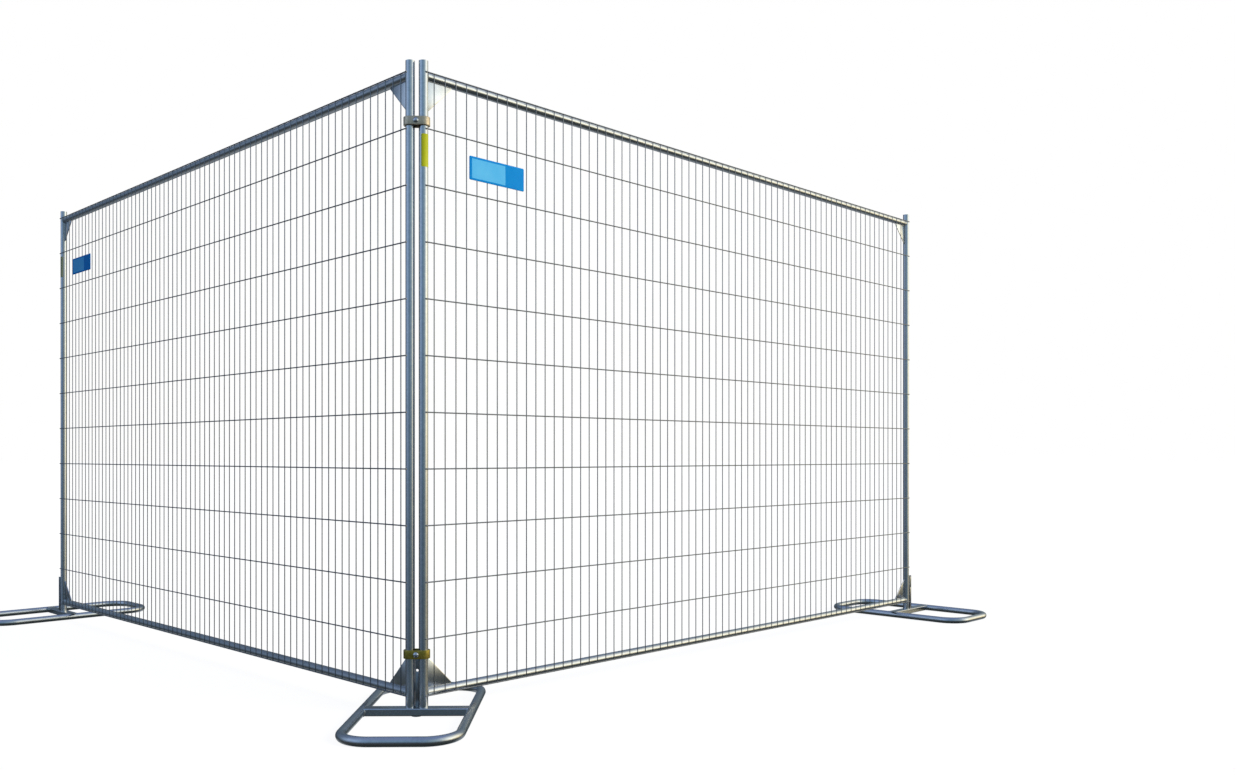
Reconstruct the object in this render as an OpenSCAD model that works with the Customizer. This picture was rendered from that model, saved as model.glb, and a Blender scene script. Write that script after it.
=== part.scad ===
// Temporary fence corner set: two welded mesh panels, three tubular stands, two post couplers.
// Millimetres, +Z up. X runs along the corner stand's crossbar, +Y along the bisector of the corner.

/* [Panel] */
// Length of the posts
post_len = 2410; // [1500:10:3000]
// Outside diameter of posts, rails and stand loops
tube_od = 34.9; // [26:0.1:50]
// Wall of posts, rails and stand loops
tube_wall = 2; // [1.2:0.1:4]
// Number of vertical wires
wire_count = 70; // [10:1:90]
// Pitch of the vertical wires
wire_pitch = 50.8; // [30:0.1:100]
// Post axis to the first vertical wire
edge_gap = 37.5; // [30:0.5:60]
// Number of horizontal wires
row_count = 12; // [4:1:20]
// Post end to the nearest horizontal wire
row_inset = 44.5; // [30:0.5:80]
// Post end to the axis of a rail
rail_inset = 53.5; // [40:0.5:90]
// Diameter of the vertical wires
v_wire_d = 4; // [2.5:0.1:5]
// Diameter of the horizontal wires
h_wire_d = 5; // [2.5:0.1:6]
// How far a horizontal wire runs past a post axis
row_past = 5; // [2:0.5:8]
// How far a vertical wire runs past the last horizontal wire
wire_past = 4; // [2:0.5:10]
// Leg of a gusset
gusset_leg = 110; // [60:1:120]
// Blunt tip of a gusset
gusset_cut = 6; // [2:0.5:15]
// Thickness of a gusset
gusset_t = 4; // [2:0.5:8]

/* [Sign] */
// Width of the sign plate
sign_w = 276; // [120:1:400]
// Height of the sign plate
sign_h = 92; // [60:1:180]
// Thickness of the sign plate
sign_t = 2; // [1:0.1:4]
// Left post axis to the middle of the sign plate
sign_x = 339; // [250:1:600]
// Top wire to the middle of the sign plate, in wire rows
sign_row = 1.5; // [0.5:1:3.5]
// Height of the post label
label_h = 123; // [60:1:150]
// Angle that the post label covers
label_a = 130; // [60:5:160]
// Thickness of the post label
label_t = 0.4; // [0.2:0.1:1]

/* [Stand] */
// Length of the loop, between tube axes
loop_len = 860; // [500:5:1200]
// Width of the loop, between tube axes
loop_wid = 410; // [300:5:600]
// Bend radius of the loop, at the tube axis
loop_rad = 115; // [70:1:140]
// Width of the crossbar
bar_w = 50; // [40:1:80]
// Height of the crossbar
bar_h = 28.5; // [20:0.5:30]
// Wall of the crossbar
bar_wall = 2.5; // [1.5:0.1:5]
// Outside corner radius of the crossbar
bar_rad = 4; // [3:0.5:6]
// Diameter of the pad under the crossbar
pad_d = 40; // [20:1:46]
// Gap between the two posts on one stand
pair_gap = 14.6; // [14:0.1:24]
// Width of the upright
upright_w = 17; // [12:0.5:18]
// Height of the upright
upright_h = 203; // [160:1:215]
// Thickness of the upright
upright_t = 8; // [5:0.5:8]
// Cross hole in the upright
pin_hole_d = 10.5; // [6:0.5:12]
// Crossbar top to the cross hole
pin_hole_z = 135; // [80:1:145]
// Height of a spigot
spigot_h = 60; // [30:1:75]
// Radial play of a post on its spigot
spigot_play = 0.6; // [0.4:0.1:2]

/* [Coupler] */
// Thickness of a jaw
jaw_t = 7; // [3:0.5:8]
// Height of a jaw
jaw_h = 32; // [20:1:34]
// Radial play of a jaw on a post
jaw_play = 0.4; // [0.3:0.1:1]
// Gap between the two jaws
jaw_gap = 3; // [1:0.5:6]
// Post foot to the middle of the lower coupler
low_jaw_z = 199; // [190:1:230]
// Post top to the middle of the upper coupler
top_jaw_z = 227; // [205:1:235]
// Bolt diameter
bolt_d = 8; // [6:1:10]
// Bolt head diameter
head_d = 20.6; // [14:0.2:24]
// Bolt head height
head_h = 5; // [3:0.5:7]
// Washer thickness
washer_t = 1.6; // [1:0.1:3]
// Bolt length past the nut
bolt_past = 6.2; // [5:0.1:15]

/* [Hidden] */
$fn = 48;
// Small gap where welded pieces meet
weld_gap = 0.05;
tube_r = tube_od / 2;
pair = tube_od + pair_gap;
span = (wire_count - 1) * wire_pitch + 2 * edge_gap;
row_pitch = (post_len - 2 * row_inset) / (row_count - 1);
h_off = tube_r + h_wire_d / 2 + weld_gap;
v_off = h_off - h_wire_d / 2 - v_wire_d / 2 - weld_gap;
rail_off = tube_r - (v_off - v_wire_d / 2 - weld_gap);
rail_end = tube_r / 2;
sign_z = post_len - row_inset - sign_row * row_pitch;
sign_back = v_off + v_wire_d / 2 + weld_gap;
strip_front = v_off - v_wire_d / 2 - weld_gap;
strip_t = 2;
strip_h = 14;
strip_w = wire_pitch + 16;
// The pad lifts the crossbar so that its middle lines up with the loop's tube
pad_h = (tube_od - bar_h) / 2 + 0.3;
foot_z = pad_h + bar_h;
bolt_play = 0.7;
spigot_r = tube_r - tube_wall - spigot_play;
spigot_wall = 4;
spigot_lead = 3;
vent_d = 9;
jaw_r = tube_r + jaw_play;
jaw_out = jaw_r + jaw_t;
neck = bolt_d + 0.4;
nut_af = 1.625 * bolt_d;
nut_h = 0.8125 * bolt_d;
washer_r = bolt_d;
bolt_end = jaw_out + washer_t + nut_h + bolt_past;
slope = sqrt(0.5);
// End of the box along +Y, from the outline of an end stand turned by 45 degrees
stand_c = slope * (span + pair / 2);
reach = slope * (loop_len / 2 + loop_wid / 2 - 2 * loop_rad) + loop_rad + tube_r;
back_y = stand_c + reach;
front_y = -(loop_len / 2 + tube_r);
corner_y = -(back_y + front_y) / 2;

// Placements: a panel's own frame starts at the foot of its left post, with the mesh on its -Y side.
// A stand's own frame has its upright on the +Y side: inside at the corner, outside at the two ends.
module at_right_panel() {
  translate([pair / 2, corner_y, foot_z]) rotate([0, 0, 45]) children();
}
module at_left_panel() {
  translate([-pair / 2 - slope * span, corner_y + slope * span, foot_z]) rotate([0, 0, -45]) children();
}
module at_corner_stand() {
  translate([0, corner_y, 0]) children();
}
module at_right_stand() {
  translate([pair / 2 + stand_c, corner_y + stand_c, 0]) rotate([0, 0, 225]) children();
}
module at_left_stand() {
  translate([-pair / 2 - stand_c, corner_y + stand_c, 0]) rotate([0, 0, 135]) children();
}
module at_lower_coupler() {
  translate([0, corner_y, foot_z + low_jaw_z]) children();
}
module at_upper_coupler() {
  translate([0, corner_y, foot_z + post_len - top_jaw_z]) children();
}

// Panel shapes
module post(x) {
  translate([x, 0, 0]) difference() {
    cylinder(h = post_len, r = tube_r);
    translate([0, 0, -1]) cylinder(h = post_len + 2, r = tube_r - tube_wall);
  }
}
module rail(z) {
  difference() {
    translate([rail_end, rail_off, z]) rotate([0, 90, 0]) difference() {
      cylinder(h = span - 2 * rail_end, r = tube_r);
      translate([0, 0, -1]) cylinder(h = span - 2 * rail_end + 2, r = tube_r - tube_wall);
    }
    for (x = [0, span])
      translate([x, 0, z - tube_od]) cylinder(h = 2 * tube_od, r = tube_r + weld_gap);
  }
}
module vertical_wires() {
  for (i = [0 : wire_count - 1])
    translate([edge_gap + i * wire_pitch, -v_off, row_inset - wire_past])
      cylinder(h = post_len - 2 * row_inset + 2 * wire_past, r = v_wire_d / 2);
}
module horizontal_wires() {
  for (k = [0 : row_count - 1])
    translate([-row_past, -h_off, row_inset + k * row_pitch]) rotate([0, 90, 0])
      cylinder(h = span + 2 * row_past, r = h_wire_d / 2);
}
// A gusset in the corner at the left post and bottom rail
module gusset_shape() {
  x0 = tube_r + weld_gap;
  z0 = rail_inset + sqrt(tube_r * tube_r - pow(rail_off - gusset_t / 2, 2)) + weld_gap;
  translate([0, gusset_t / 2, 0]) rotate([90, 0, 0]) linear_extrude(height = gusset_t)
    polygon([
      [x0, z0], [x0 + gusset_leg, z0], [x0 + gusset_leg, z0 + gusset_cut],
      [x0 + gusset_cut, z0 + gusset_leg], [x0, z0 + gusset_leg]
    ]);
}
module gusset(at_right, at_top) {
  translate([at_right ? span : 0, 0, at_top ? post_len : 0])
    mirror([at_right ? 1 : 0, 0, 0]) mirror([0, 0, at_top ? 1 : 0]) gusset_shape();
}
module sign_plate() {
  translate([sign_x - sign_w / 2, -sign_back - sign_t, sign_z - sign_h / 2]) cube([sign_w, sign_t, sign_h]);
}
// Two strips behind the wires, each with a stud that reaches between the wires to the plate
module sign_clamps() {
  mid = edge_gap + (round((sign_x - edge_gap) / wire_pitch - 0.5) + 0.5) * wire_pitch;
  room = sign_w / 2 - strip_w / 2 - 5;
  low = floor((room + mid - sign_x) / wire_pitch) * wire_pitch;
  high = floor((room - mid + sign_x) / wire_pitch) * wire_pitch;
  for (x = [mid - low, mid + high])
    translate([x, -strip_front, sign_z]) union() {
      translate([-strip_w / 2, 0, -strip_h / 2]) cube([strip_w, strip_t, strip_h]);
      rotate([90, 0, 0]) cylinder(h = sign_back - strip_front - weld_gap, r = 3);
    }
}
module post_label() {
  translate([0, 0, sign_z - label_h / 2 + 25]) rotate([0, 0, -90 - label_a / 2])
    rotate_extrude(angle = label_a) translate([tube_r + weld_gap, 0]) square([label_t, label_h]);
}

// Stand shapes: the loop's long sides run along Y, the crossbar along X
module tube_ring() {
  difference() {
    circle(r = tube_r);
    circle(r = tube_r - tube_wall);
  }
}
module bend(x, y, a) {
  translate([x, y, tube_r]) rotate([0, 0, a]) rotate_extrude(angle = 90) translate([loop_rad, 0]) tube_ring();
}
module stand_loop() {
  cx = loop_wid / 2 - loop_rad;
  cy = loop_len / 2 - loop_rad;
  difference() {
    union() {
      bend(cx, cy, 0);
      bend(-cx, cy, 90);
      bend(-cx, -cy, 180);
      bend(cx, -cy, 270);
      for (s = [-1, 1]) {
        translate([s * loop_wid / 2, cy, tube_r]) rotate([90, 0, 0])
          linear_extrude(height = 2 * cy) tube_ring();
        translate([-cx, s * loop_len / 2, tube_r]) rotate([90, 0, 90])
          linear_extrude(height = 2 * cx) tube_ring();
      }
    }
    // Drain holes under the long sides
    for (s = [-1, 1])
      translate([s * loop_wid / 2, 0, -1]) cylinder(h = tube_wall * 3, r = vent_d / 2);
  }
}
// A bar along X with round edges, its low front edge at the origin
module rolled_bar(l, w, h, r) {
  union() {
    translate([0, r, 0]) cube([l, w - 2 * r, h]);
    translate([0, 0, r]) cube([l, w, h - 2 * r]);
    for (y = [r, w - r])
      for (z = [r, h - r])
        translate([0, y, z]) rotate([0, 90, 0]) cylinder(h = l, r = r);
  }
}
module stand_crossbar() {
  difference() {
    translate([-loop_wid / 2, -bar_w / 2, pad_h]) rolled_bar(loop_wid, bar_w, bar_h, bar_rad);
    translate([-loop_wid / 2 - 1, -bar_w / 2 + bar_wall, pad_h + bar_wall])
      cube([loop_wid + 2, bar_w - 2 * bar_wall, bar_h - 2 * bar_wall]);
    for (s = [-1, 1])
      translate([s * loop_wid / 2, bar_w, tube_r]) rotate([90, 0, 0])
        cylinder(h = 2 * bar_w, r = tube_r + weld_gap);
  }
}
// A flat bar behind the gap between the posts, notched at its top for the lower coupler's bolt
module stand_upright() {
  notch = bolt_d / 2 + bolt_play;
  translate([0, 0, foot_z]) difference() {
    translate([-upright_w / 2, tube_r - upright_t, 0]) cube([upright_w, upright_t, upright_h]);
    translate([0, tube_od, pin_hole_z]) rotate([90, 0, 0]) cylinder(h = 2 * tube_od, r = pin_hole_d / 2);
    translate([0, tube_od, low_jaw_z]) rotate([90, 0, 0]) cylinder(h = 2 * tube_od, r = notch);
    translate([-notch, -tube_od, low_jaw_z]) cube([2 * notch, 2 * tube_od, upright_h]);
  }
}
// Open stubs with a tapered lead, one in each post that stands here
module stand_spigots(places) {
  for (s = places)
    translate([s * pair / 2, 0, foot_z]) difference() {
      union() {
        cylinder(h = spigot_h - spigot_lead, r = spigot_r);
        translate([0, 0, spigot_h - spigot_lead])
          cylinder(h = spigot_lead, r1 = spigot_r, r2 = spigot_r - spigot_wall / 2);
      }
      translate([0, 0, -1]) cylinder(h = spigot_h + 2, r = spigot_r - spigot_wall);
    }
}
module stand_pad() {
  cylinder(h = pad_h, r = pad_d / 2);
}

// Coupler shapes: the bolt runs along +Y, the posts stand at plus and minus half the pair distance
module jaw_band() {
  translate([-pair / 2, 0, -jaw_h / 2]) rotate([0, 0, 180])
    rotate_extrude(angle = 90) translate([jaw_r, 0]) square([jaw_t, jaw_h]);
  translate([pair / 2, 0, -jaw_h / 2]) rotate([0, 0, 270])
    rotate_extrude(angle = 90) translate([jaw_r, 0]) square([jaw_t, jaw_h]);
  translate([-pair / 2, -jaw_out, -jaw_h / 2]) cube([pair, jaw_t, jaw_h]);
}
module jaw_half() {
  difference() {
    jaw_band();
    translate([-pair * 2, -jaw_gap / 2, -jaw_h]) cube([pair * 4, jaw_gap, jaw_h * 2]);
  }
}
module front_jaw() {
  hole = neck + 0.3;
  difference() {
    jaw_half();
    translate([-hole / 2, -jaw_out - 1, -hole / 2]) cube([hole, jaw_t + 2, hole]);
  }
}
module rear_jaw() {
  rotate([0, 0, 180]) difference() {
    jaw_half();
    translate([0, 0, 0]) rotate([90, 0, 0]) cylinder(h = jaw_out + 1, r = bolt_d / 2 + 0.5);
  }
}
module bolt() {
  cap_r = (head_d * head_d / 4 + head_h * head_h) / (2 * head_h);
  union() {
    translate([0, -jaw_out, 0]) intersection() {
      translate([0, cap_r - head_h, 0]) sphere(r = cap_r);
      translate([-head_d, -2 * head_h, -head_d]) cube([2 * head_d, 2 * head_h, 2 * head_d]);
    }
    translate([-neck / 2, -jaw_out, -neck / 2]) cube([neck, jaw_t, neck]);
    translate([0, -jaw_r, 0]) rotate([-90, 0, 0]) cylinder(h = jaw_r + bolt_end, r = bolt_d / 2);
  }
}
module washer() {
  translate([0, jaw_out, 0]) rotate([-90, 0, 0]) difference() {
    cylinder(h = washer_t, r = washer_r);
    translate([0, 0, -1]) cylinder(h = washer_t + 2, r = bolt_d / 2 + 0.3);
  }
}
module nut() {
  translate([0, jaw_out + washer_t, 0]) rotate([-90, 0, 0]) difference() {
    cylinder(h = nut_h, r = nut_af / sqrt(3), $fn = 6);
    translate([0, 0, -1]) cylinder(h = nut_h + 2, r = bolt_d / 2 + 0.05);
  }
}

// Right panel
module right_corner_post() { color("silver") at_right_panel() post(0); }
module right_end_post() { color("silver") at_right_panel() post(span); }
module right_top_rail() { color("silver") at_right_panel() rail(post_len - rail_inset); }
module right_bottom_rail() { color("silver") at_right_panel() rail(rail_inset); }
module right_vertical_wires() { color("gray") at_right_panel() vertical_wires(); }
module right_horizontal_wires() { color("gray") at_right_panel() horizontal_wires(); }
module right_gusset_corner_top() { color("silver") at_right_panel() gusset(false, true); }
module right_gusset_corner_bottom() { color("silver") at_right_panel() gusset(false, false); }
module right_gusset_end_top() { color("silver") at_right_panel() gusset(true, true); }
module right_gusset_end_bottom() { color("silver") at_right_panel() gusset(true, false); }
module right_sign_plate() { color("dodgerblue") at_right_panel() sign_plate(); }
module right_sign_clamps() { color("gray") at_right_panel() sign_clamps(); }
module right_post_label() { color("yellow") at_right_panel() post_label(); }

// Left panel
module left_corner_post() { color("silver") at_left_panel() post(span); }
module left_end_post() { color("silver") at_left_panel() post(0); }
module left_top_rail() { color("silver") at_left_panel() rail(post_len - rail_inset); }
module left_bottom_rail() { color("silver") at_left_panel() rail(rail_inset); }
module left_vertical_wires() { color("gray") at_left_panel() vertical_wires(); }
module left_horizontal_wires() { color("gray") at_left_panel() horizontal_wires(); }
module left_gusset_corner_top() { color("silver") at_left_panel() gusset(true, true); }
module left_gusset_corner_bottom() { color("silver") at_left_panel() gusset(true, false); }
module left_gusset_end_top() { color("silver") at_left_panel() gusset(false, true); }
module left_gusset_end_bottom() { color("silver") at_left_panel() gusset(false, false); }
module left_sign_plate() { color("dodgerblue") at_left_panel() sign_plate(); }
module left_sign_clamps() { color("gray") at_left_panel() sign_clamps(); }
module left_post_label() { color("yellow") at_left_panel() post_label(); }

// Stands
module corner_stand_loop() { color("silver") at_corner_stand() stand_loop(); }
module corner_stand_crossbar() { color("silver") at_corner_stand() stand_crossbar(); }
module corner_stand_upright() { color("silver") at_corner_stand() stand_upright(); }
module corner_stand_spigots() { color("silver") at_corner_stand() stand_spigots([-1, 1]); }
module corner_stand_pad() { color("silver") at_corner_stand() stand_pad(); }
module right_stand_loop() { color("silver") at_right_stand() stand_loop(); }
module right_stand_crossbar() { color("silver") at_right_stand() stand_crossbar(); }
module right_stand_upright() { color("silver") at_right_stand() stand_upright(); }
module right_stand_spigot() { color("silver") at_right_stand() stand_spigots([1]); }
module right_stand_pad() { color("silver") at_right_stand() stand_pad(); }
module left_stand_loop() { color("silver") at_left_stand() stand_loop(); }
module left_stand_crossbar() { color("silver") at_left_stand() stand_crossbar(); }
module left_stand_upright() { color("silver") at_left_stand() stand_upright(); }
module left_stand_spigot() { color("silver") at_left_stand() stand_spigots([-1]); }
module left_stand_pad() { color("silver") at_left_stand() stand_pad(); }

// Couplers
module upper_coupler_front_jaw() { color("goldenrod") at_upper_coupler() front_jaw(); }
module upper_coupler_rear_jaw() { color("goldenrod") at_upper_coupler() rear_jaw(); }
module upper_coupler_bolt() { color("silver") at_upper_coupler() bolt(); }
module upper_coupler_washer() { color("silver") at_upper_coupler() washer(); }
module upper_coupler_nut() { color("silver") at_upper_coupler() nut(); }
module lower_coupler_front_jaw() { color("goldenrod") at_lower_coupler() front_jaw(); }
module lower_coupler_rear_jaw() { color("goldenrod") at_lower_coupler() rear_jaw(); }
module lower_coupler_bolt() { color("silver") at_lower_coupler() bolt(); }
module lower_coupler_washer() { color("silver") at_lower_coupler() washer(); }
module lower_coupler_nut() { color("silver") at_lower_coupler() nut(); }

right_corner_post();
right_end_post();
right_top_rail();
right_bottom_rail();
right_vertical_wires();
right_horizontal_wires();
right_gusset_corner_top();
right_gusset_corner_bottom();
right_gusset_end_top();
right_gusset_end_bottom();
right_sign_plate();
right_sign_clamps();
right_post_label();
left_corner_post();
left_end_post();
left_top_rail();
left_bottom_rail();
left_vertical_wires();
left_horizontal_wires();
left_gusset_corner_top();
left_gusset_corner_bottom();
left_gusset_end_top();
left_gusset_end_bottom();
left_sign_plate();
left_sign_clamps();
left_post_label();
corner_stand_loop();
corner_stand_crossbar();
corner_stand_upright();
corner_stand_spigots();
corner_stand_pad();
right_stand_loop();
right_stand_crossbar();
right_stand_upright();
right_stand_spigot();
right_stand_pad();
left_stand_loop();
left_stand_crossbar();
left_stand_upright();
left_stand_spigot();
left_stand_pad();
upper_coupler_front_jaw();
upper_coupler_rear_jaw();
upper_coupler_bolt();
upper_coupler_washer();
upper_coupler_nut();
lower_coupler_front_jaw();
lower_coupler_rear_jaw();
lower_coupler_bolt();
lower_coupler_washer();
lower_coupler_nut();
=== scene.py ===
"""Looks of a temporary fence corner set: two welded mesh panels, three tubular stands and two couplers.

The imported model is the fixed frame. Tubes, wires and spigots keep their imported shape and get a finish.
Plates, bars, jaws and fasteners are modelled again with rounded edges, and welds and prints are added.
"""

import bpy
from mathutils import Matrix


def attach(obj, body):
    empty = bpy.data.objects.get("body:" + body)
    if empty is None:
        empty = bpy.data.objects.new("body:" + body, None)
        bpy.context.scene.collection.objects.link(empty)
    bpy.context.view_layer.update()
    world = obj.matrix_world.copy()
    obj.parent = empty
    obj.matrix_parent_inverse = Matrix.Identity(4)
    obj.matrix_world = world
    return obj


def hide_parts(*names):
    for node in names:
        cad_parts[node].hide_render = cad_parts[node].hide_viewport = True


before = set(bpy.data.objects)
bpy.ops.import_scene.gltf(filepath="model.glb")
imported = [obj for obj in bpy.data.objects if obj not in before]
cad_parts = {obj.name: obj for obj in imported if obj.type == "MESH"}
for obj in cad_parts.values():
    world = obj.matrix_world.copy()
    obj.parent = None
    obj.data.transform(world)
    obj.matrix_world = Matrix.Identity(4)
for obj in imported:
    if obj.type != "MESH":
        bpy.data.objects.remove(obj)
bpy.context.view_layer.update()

import logging
import math
from dataclasses import dataclass, field
from enum import Enum
from typing import Callable, Iterable, Optional, Sequence

import bpy
from mathutils import Matrix, Vector

logging.basicConfig(level=logging.INFO, format="%(message)s")
LOG = logging.getLogger("fence")
MM = 0.001
HALF = math.sqrt(0.5)
# Millimetres in a metre, for patterns on object coordinates
PER_METRE = 1000
# Gap between pieces that lie on each other, in millimetres
SEAT = 0.05
# Distance between the points of a weld bead, in millimetres
BEAD_STEP = 3
# Ripples of a weld bead: share of its radius, and turn from point to point
RIPPLES = ((0.14, 2.1), (0.08, 0.73))
# Places and sRGB hex colours of a colour ramp
Stops = tuple[tuple[float, str], ...]
Obj = bpy.types.Object
Socket = bpy.types.NodeSocket


class Side(Enum):
    """The two panels, seen from outside the corner."""

    RIGHT = "right"
    LEFT = "left"


class Place(Enum):
    """The three stands."""

    CORNER = "corner"
    RIGHT = "right"
    LEFT = "left"


class Level(Enum):
    """The two couplers."""

    UPPER = "upper"
    LOWER = "lower"


@dataclass(frozen=True)
class Layout:
    """Sizes that all sub-assemblies share, in millimetres and degrees, as in the part's source."""

    tube_od: float = 34.9
    tube_wall: float = 2.0
    post_len: float = 2410.0
    pair: float = 49.5
    wire_count: int = 70
    wire_pitch: float = 50.8
    edge_gap: float = 37.5
    panel_turn: float = 45.0
    foot_z: float = 32.0
    loop_len: float = 860.0
    loop_wid: float = 410.0
    loop_rad: float = 115.0

    @property
    def tube_r(self) -> float:
        """Outside radius of the tube."""
        return self.tube_od / 2

    @property
    def span(self) -> float:
        """Distance between the middles of a panel's two posts."""
        return (self.wire_count - 1) * self.wire_pitch + 2 * self.edge_gap

    @property
    def stand_c(self) -> float:
        """Distance of an end stand's middle from the corner, along X and along Y."""
        return HALF * (self.span + self.pair / 2)

    @property
    def corner_y(self) -> float:
        """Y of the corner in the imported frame."""
        flat = HALF * (self.loop_len / 2 + self.loop_wid / 2 - 2 * self.loop_rad)
        reach = flat + self.loop_rad + self.tube_r
        return -((self.stand_c + reach) - (self.loop_len / 2 + self.tube_r)) / 2

    def panel_matrix(self, side: Side) -> Matrix:
        """Place of a panel's own frame.

        Args:
            side: which panel.

        Returns:
            The matrix from panel millimetres, counted from the foot of its left post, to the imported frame.
        """
        if side is Side.RIGHT:
            return millimetre_matrix((self.pair / 2, self.corner_y, self.foot_z), self.panel_turn)
        far = HALF * self.span
        return millimetre_matrix((-self.pair / 2 - far, self.corner_y + far, self.foot_z), -self.panel_turn)

    def stand_matrix(self, place: Place) -> Matrix:
        """Place of a stand's own frame.

        Args:
            place: which stand.

        Returns:
            The matrix from stand millimetres, counted from the ground under its middle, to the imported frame.
        """
        away = self.pair / 2 + self.stand_c
        spots = {
            Place.CORNER: ((0, self.corner_y, 0), 0),
            Place.RIGHT: ((away, self.corner_y + self.stand_c, 0), 180 + self.panel_turn),
            Place.LEFT: ((-away, self.corner_y + self.stand_c, 0), 180 - self.panel_turn),
        }
        return millimetre_matrix(*spots[place])


def millimetre_matrix(spot: Sequence[float], turn: float) -> Matrix:
    """A placement in metres for a shape drawn in millimetres.

    Args:
        spot: where the shape's own origin lies, in millimetres.
        turn: its turn about Z, in degrees.

    Returns:
        The placement.
    """
    turned = Matrix.Rotation(math.radians(turn), 4, "Z")
    return Matrix.Translation(Vector(spot) * MM) @ turned @ Matrix.Scale(MM, 4)


LAYOUT = Layout()

# Modelling by operators


def clear_selection() -> None:
    """Deselects every object."""
    if bpy.context.mode != "OBJECT":
        done()
    bpy.ops.object.select_all(action="DESELECT")


def hold(obj: Obj) -> None:
    """Makes one object the only selected and the active one.

    Args:
        obj: the object.
    """
    clear_selection()
    obj.select_set(True)
    bpy.context.view_layer.objects.active = obj


def start(name: str, kind: str, **settings: object) -> Obj:
    """Adds a primitive as the start of a piece.

    Args:
        name: the piece's name.
        kind: the primitive, as in bpy.ops.mesh.primitive_KIND_add.
        settings: what the operator takes.

    Returns:
        The new object, alone selected.
    """
    clear_selection()
    getattr(bpy.ops.mesh, f"primitive_{kind}_add")(**settings)
    obj = bpy.context.active_object
    obj.name = name
    obj.data.name = name
    return obj


def settle(obj: Obj, matrix: Optional[Matrix] = None) -> Obj:
    """Puts an object's place, turn and size into its mesh.

    Args:
        obj: the object.
        matrix: a placement that comes on top of its own.

    Returns:
        The object, at the origin.
    """
    hold(obj)
    if matrix is not None:
        obj.matrix_world = matrix @ obj.matrix_world
    bpy.context.view_layer.update()
    bpy.ops.object.transform_apply(location=True, rotation=True, scale=True)
    return obj


def pick(obj: Obj, faces: Optional[Callable[[bpy.types.MeshPolygon], bool]] = None,
         points: Optional[Callable[[Vector], bool]] = None,
         edges: Optional[Callable[[Vector, Vector], bool]] = None) -> None:
    """Selects parts of a mesh by their place or normal and goes into edit mode.

    Args:
        obj: the object.
        faces: a test for its faces.
        points: a test for its vertices.
        edges: a test for its edges, by their two ends.
    """
    hold(obj)
    mesh = obj.data
    kind = "FACE" if faces else "VERT" if points else "EDGE"
    bpy.ops.object.mode_set(mode="EDIT")
    bpy.ops.mesh.select_mode(type=kind)
    bpy.ops.mesh.select_all(action="DESELECT")
    done()
    if faces:
        for face in mesh.polygons:
            face.select = faces(face)
    elif points:
        for vertex in mesh.vertices:
            vertex.select = points(vertex.co)
    elif edges:
        for edge in mesh.edges:
            a, b = (mesh.vertices[i].co for i in edge.vertices)
            edge.select = edges(a, b)
    bpy.ops.object.mode_set(mode="EDIT")


def done() -> None:
    """Leaves edit mode."""
    bpy.ops.object.mode_set(mode="OBJECT")


def modify(obj: Obj, kind: str, **settings: object) -> None:
    """Adds a modifier and applies it.

    Args:
        obj: the object.
        kind: the modifier's type.
        settings: its values.
    """
    hold(obj)
    modifier = obj.modifiers.new(kind.lower(), kind)
    for key, value in settings.items():
        setattr(modifier, key, value)
    bpy.ops.object.modifier_apply(modifier=modifier.name)


def repeat(obj: Obj, *rows: tuple[Sequence[float], int]) -> None:
    """Repeats a mesh along rows and shades it smooth.

    Args:
        obj: the object.
        rows: the step and the count of each row.
    """
    for step, count in rows:
        modify(obj, "ARRAY", count=count, use_relative_offset=False, use_constant_offset=True,
               constant_offset_displace=step)
    hold(obj)
    bpy.ops.object.shade_smooth()


def round_edges(obj: Obj, width: float, segments: int, angle: float) -> None:
    """Rounds the edges of an object that are sharper than an angle in degrees."""
    modify(obj, "BEVEL", width=width, segments=segments, limit_method="ANGLE",
           angle_limit=math.radians(angle))


def smooth(obj: Obj, angle: float) -> None:
    """Shades an object smooth below an angle in degrees."""
    hold(obj)
    bpy.ops.object.shade_smooth_by_angle(angle=math.radians(angle))


def outward(obj: Obj) -> None:
    """Merges doubles and points all faces outwards.

    Args:
        obj: the object.
    """
    hold(obj)
    bpy.ops.object.mode_set(mode="EDIT")
    bpy.ops.mesh.select_all(action="SELECT")
    bpy.ops.mesh.remove_doubles(threshold=0.0005)
    bpy.ops.mesh.normals_make_consistent(inside=False)
    done()


def cut(obj: Obj, cutter: Obj) -> None:
    """Takes one shape out of another and deletes the cutter."""
    modify(obj, "BOOLEAN", operation="DIFFERENCE", solver="EXACT", object=cutter)
    bpy.data.objects.remove(cutter)


def merge(name: str, parts: Sequence[Obj]) -> Obj:
    """Joins objects into one.

    Args:
        name: the joined piece's name.
        parts: the objects.

    Returns:
        The joined object.
    """
    hold(parts[0])
    for part in parts:
        part.select_set(True)
    bpy.ops.object.join()
    parts[0].name = name
    parts[0].data.name = name
    return parts[0]


def bead(name: str, path: Sequence[Vector], radius: float) -> Obj:
    """A weld bead with the ripples of its stops and starts.

    Args:
        name: the bead's name.
        path: points that it follows, in millimetres.
        radius: half its width.

    Returns:
        The bead as a mesh.
    """
    curve = bpy.data.curves.new(name, "CURVE")
    curve.dimensions = "3D"
    curve.bevel_depth = radius
    curve.bevel_resolution = 1
    curve.use_fill_caps = True
    line = curve.splines.new("POLY")
    line.points.add(len(path) - 1)
    for i, (point, spot) in enumerate(zip(line.points, path)):
        point.co = (*spot, 1)
        point.radius = sum((share * math.sin(i * turn) for share, turn in RIPPLES), 1.0)
    obj = bpy.data.objects.new(name, curve)
    bpy.context.scene.collection.objects.link(obj)
    hold(obj)
    bpy.ops.object.convert(target="MESH")
    obj = bpy.context.active_object
    bpy.ops.object.shade_smooth()
    return obj


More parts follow.
